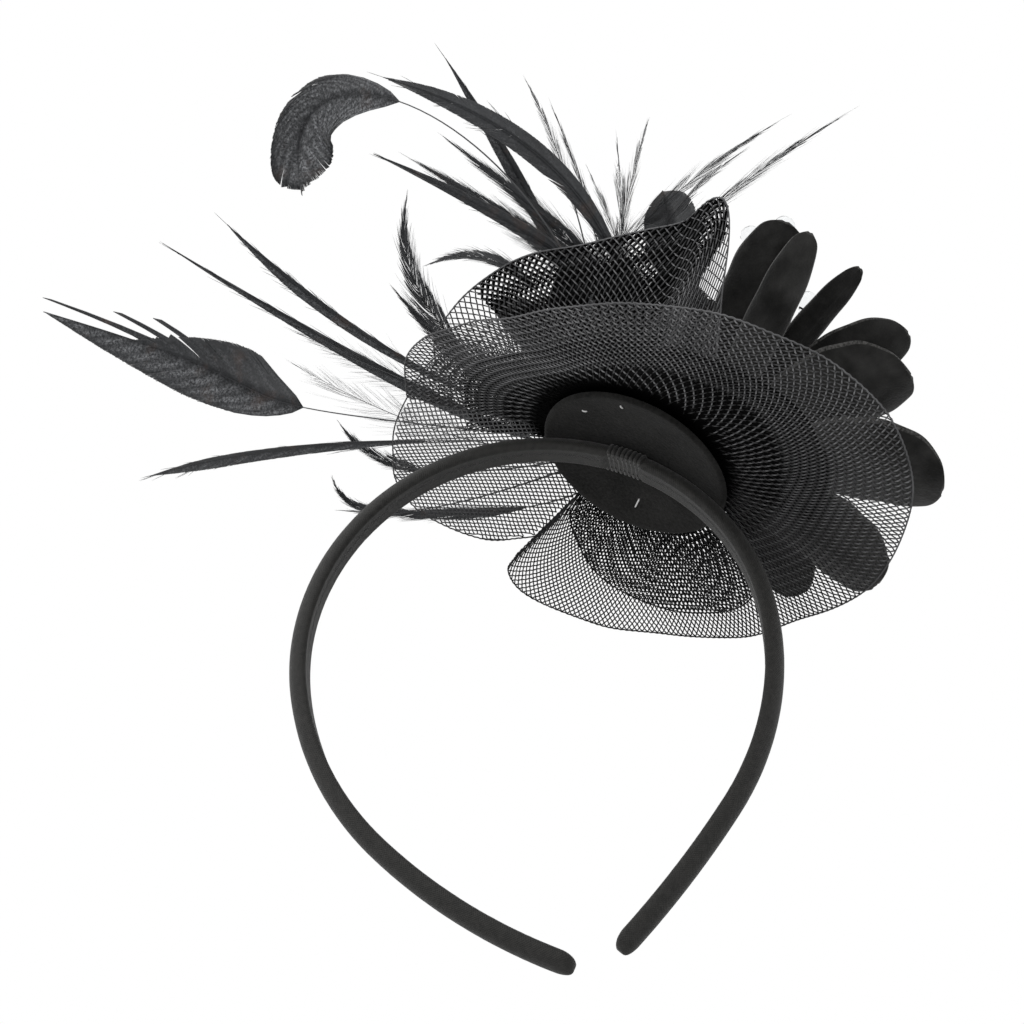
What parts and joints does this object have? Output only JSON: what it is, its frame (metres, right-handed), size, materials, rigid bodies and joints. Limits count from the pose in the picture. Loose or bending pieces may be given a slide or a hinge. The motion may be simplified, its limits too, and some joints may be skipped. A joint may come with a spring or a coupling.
{
  "type": "fascinator headpiece",
  "caption": "Hair band carrying a felt disc with ruffled crin mesh, a cloth flower and a spray of feathers, worn on the side of the head.",
  "frame": {"origin": "centre of the hair band's upper half circle, on its mid width", "axes": "+Z towards the crown of the hoop, X across it, +Y along the band's width, away from the side its underside is seen from"},
  "size_m": [0.2547, 0.1798, 0.2787],
  "materials": {
    "spring_strip": "thin spring strip, hidden in the sleeve",
    "band_cover": "matt woven cloth drawn tight",
    "binding_cord": "waxed cord, slight sheen",
    "stitch_thread": "short pale stitches",
    "felt": "soft napped felt",
    "crin": "open crin mesh of fine nylon threads",
    "petal_cloth": "matt velvet cloth",
    "clear_drop": "clear drops on thin stems",
    "feather": "dyed feather, soft blue-grey sheen"
  },
  "bodies": {
    "root": {"binding_wraps": "binding_cord", "crin_cup": "crin", "crin_left_lobe": "crin", "crin_lower_fold": "crin", "crin_saucer": "crin", "disc_stitches": "stitch_thread", "feather_biot_long": "feather", "feather_biot_short": "feather", "feather_collar": "felt", "feather_curled": "feather", "feather_fluff_long": "feather", "feather_fluff_short": "feather", "feather_goose": "feather", "feather_hackle": "feather", "feather_hackle_small": "feather", "feather_low_lower": "feather", "feather_low_middle": "feather", "feather_low_upper": "feather", "feather_pad_left": "feather", "feather_pad_middle": "feather", "feather_pad_right": "feather", "feather_pad_upper": "feather", "feather_plume": "feather", "feather_pointed": "feather", "feather_round": "feather", "feather_sickle": "feather", "feather_stripped": "feather", "feather_swept_high": "feather", "feather_swept_low": "feather", "feather_swept_middle": "feather", "feather_tall": "feather", "feather_tall_small": "feather", "feather_upright_left": "feather", "feather_upright_middle": "feather", "feather_upright_right": "feather", "feather_wisp_long": "feather", "feather_wisp_middle": "feather", "feather_wisp_short": "feather", "felt_disc": "felt", "felt_pad": "felt", "flower_calyx": "petal_cloth", "flower_drops": "clear_drop", "headband_core": "spring_strip", "headband_cover": "band_cover", "petal_back": "petal_cloth", "petal_back_left": "petal_cloth", "petal_heart_back": "petal_cloth", "petal_heart_front": "petal_cloth", "petal_heart_right": "petal_cloth", "petal_left": "petal_cloth", "petal_lower": "petal_cloth", "petal_right": "petal_cloth", "petal_right_lower": "petal_cloth", "petal_right_upper": "petal_cloth", "petal_top": "petal_cloth", "petal_top_fold": "petal_cloth", "petal_top_narrow": "petal_cloth", "petal_top_right": "petal_cloth"}
  },
  "joints": []
}
